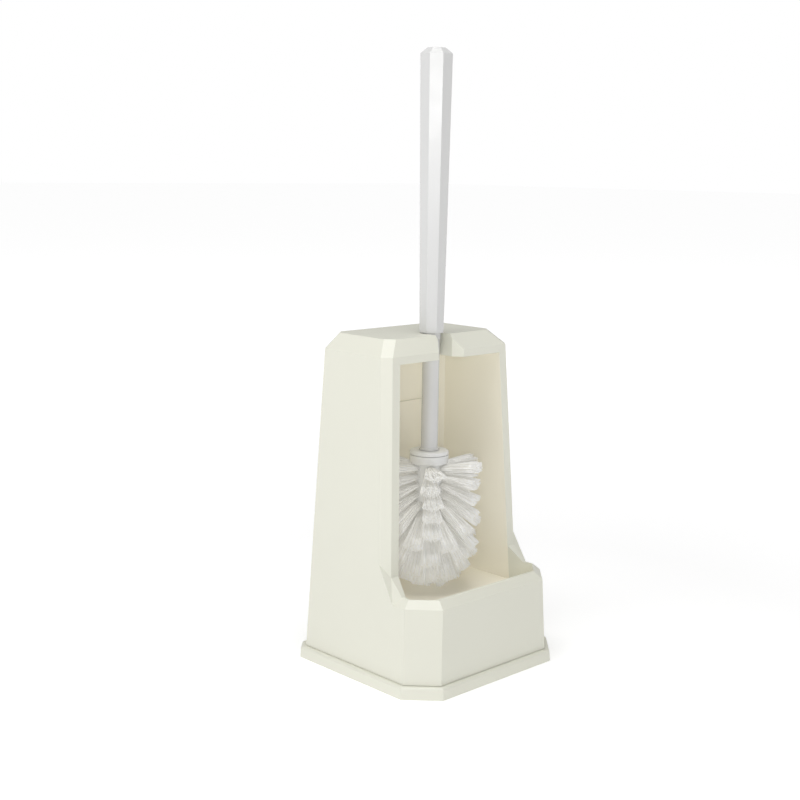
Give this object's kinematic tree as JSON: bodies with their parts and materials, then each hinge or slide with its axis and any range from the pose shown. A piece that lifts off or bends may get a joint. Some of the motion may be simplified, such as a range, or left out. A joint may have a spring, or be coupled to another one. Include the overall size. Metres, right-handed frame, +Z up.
{
  "type": "toilet brush holder",
  "caption": "Open-fronted tower holder on a plinth with a slotted lid, holding a long-handled toilet brush with a round tufted head.",
  "frame": {"origin": "on the floor, under the middle of the plinth", "axes": "+Z up, the open front of the holder faces -Y, X runs across the holder"},
  "size_m": [0.1596, 0.1416, 0.456],
  "materials": {
    "holder_plastic": "cream moulded plastic, satin",
    "plinth_plastic": "cream moulded plastic, satin",
    "handle_plastic": "white moulded plastic, semi-gloss",
    "shaft_plastic": "white moulded plastic, semi-gloss",
    "ring_plastic": "white moulded plastic, semi-gloss",
    "core_plastic": "white moulded plastic, satin",
    "bristle": "off-white translucent synthetic filament"
  },
  "bodies": {
    "holder": {"holder_body": "holder_plastic", "base_plinth": "plinth_plastic"},
    "brush": {"handle": "handle_plastic", "shaft": "shaft_plastic", "locking_ring": "ring_plastic", "head_core": "core_plastic", "tuft_row_1": "bristle", "tuft_row_2": "bristle", "tuft_row_3": "bristle", "tuft_row_4": "bristle", "tuft_row_5": "bristle", "tuft_row_6": "bristle", "tuft_row_7": "bristle", "tuft_row_8": "bristle", "tuft_row_9": "bristle", "tuft_row_10": "bristle", "tuft_tip": "bristle"}
  },
  "joints": [
    {"name": "brush_lift_out", "type": "slide", "parent": "holder", "child": "brush", "axis": [0, -0.7071, 0.7071], "range_m": [0, 0.17]}
  ]
}
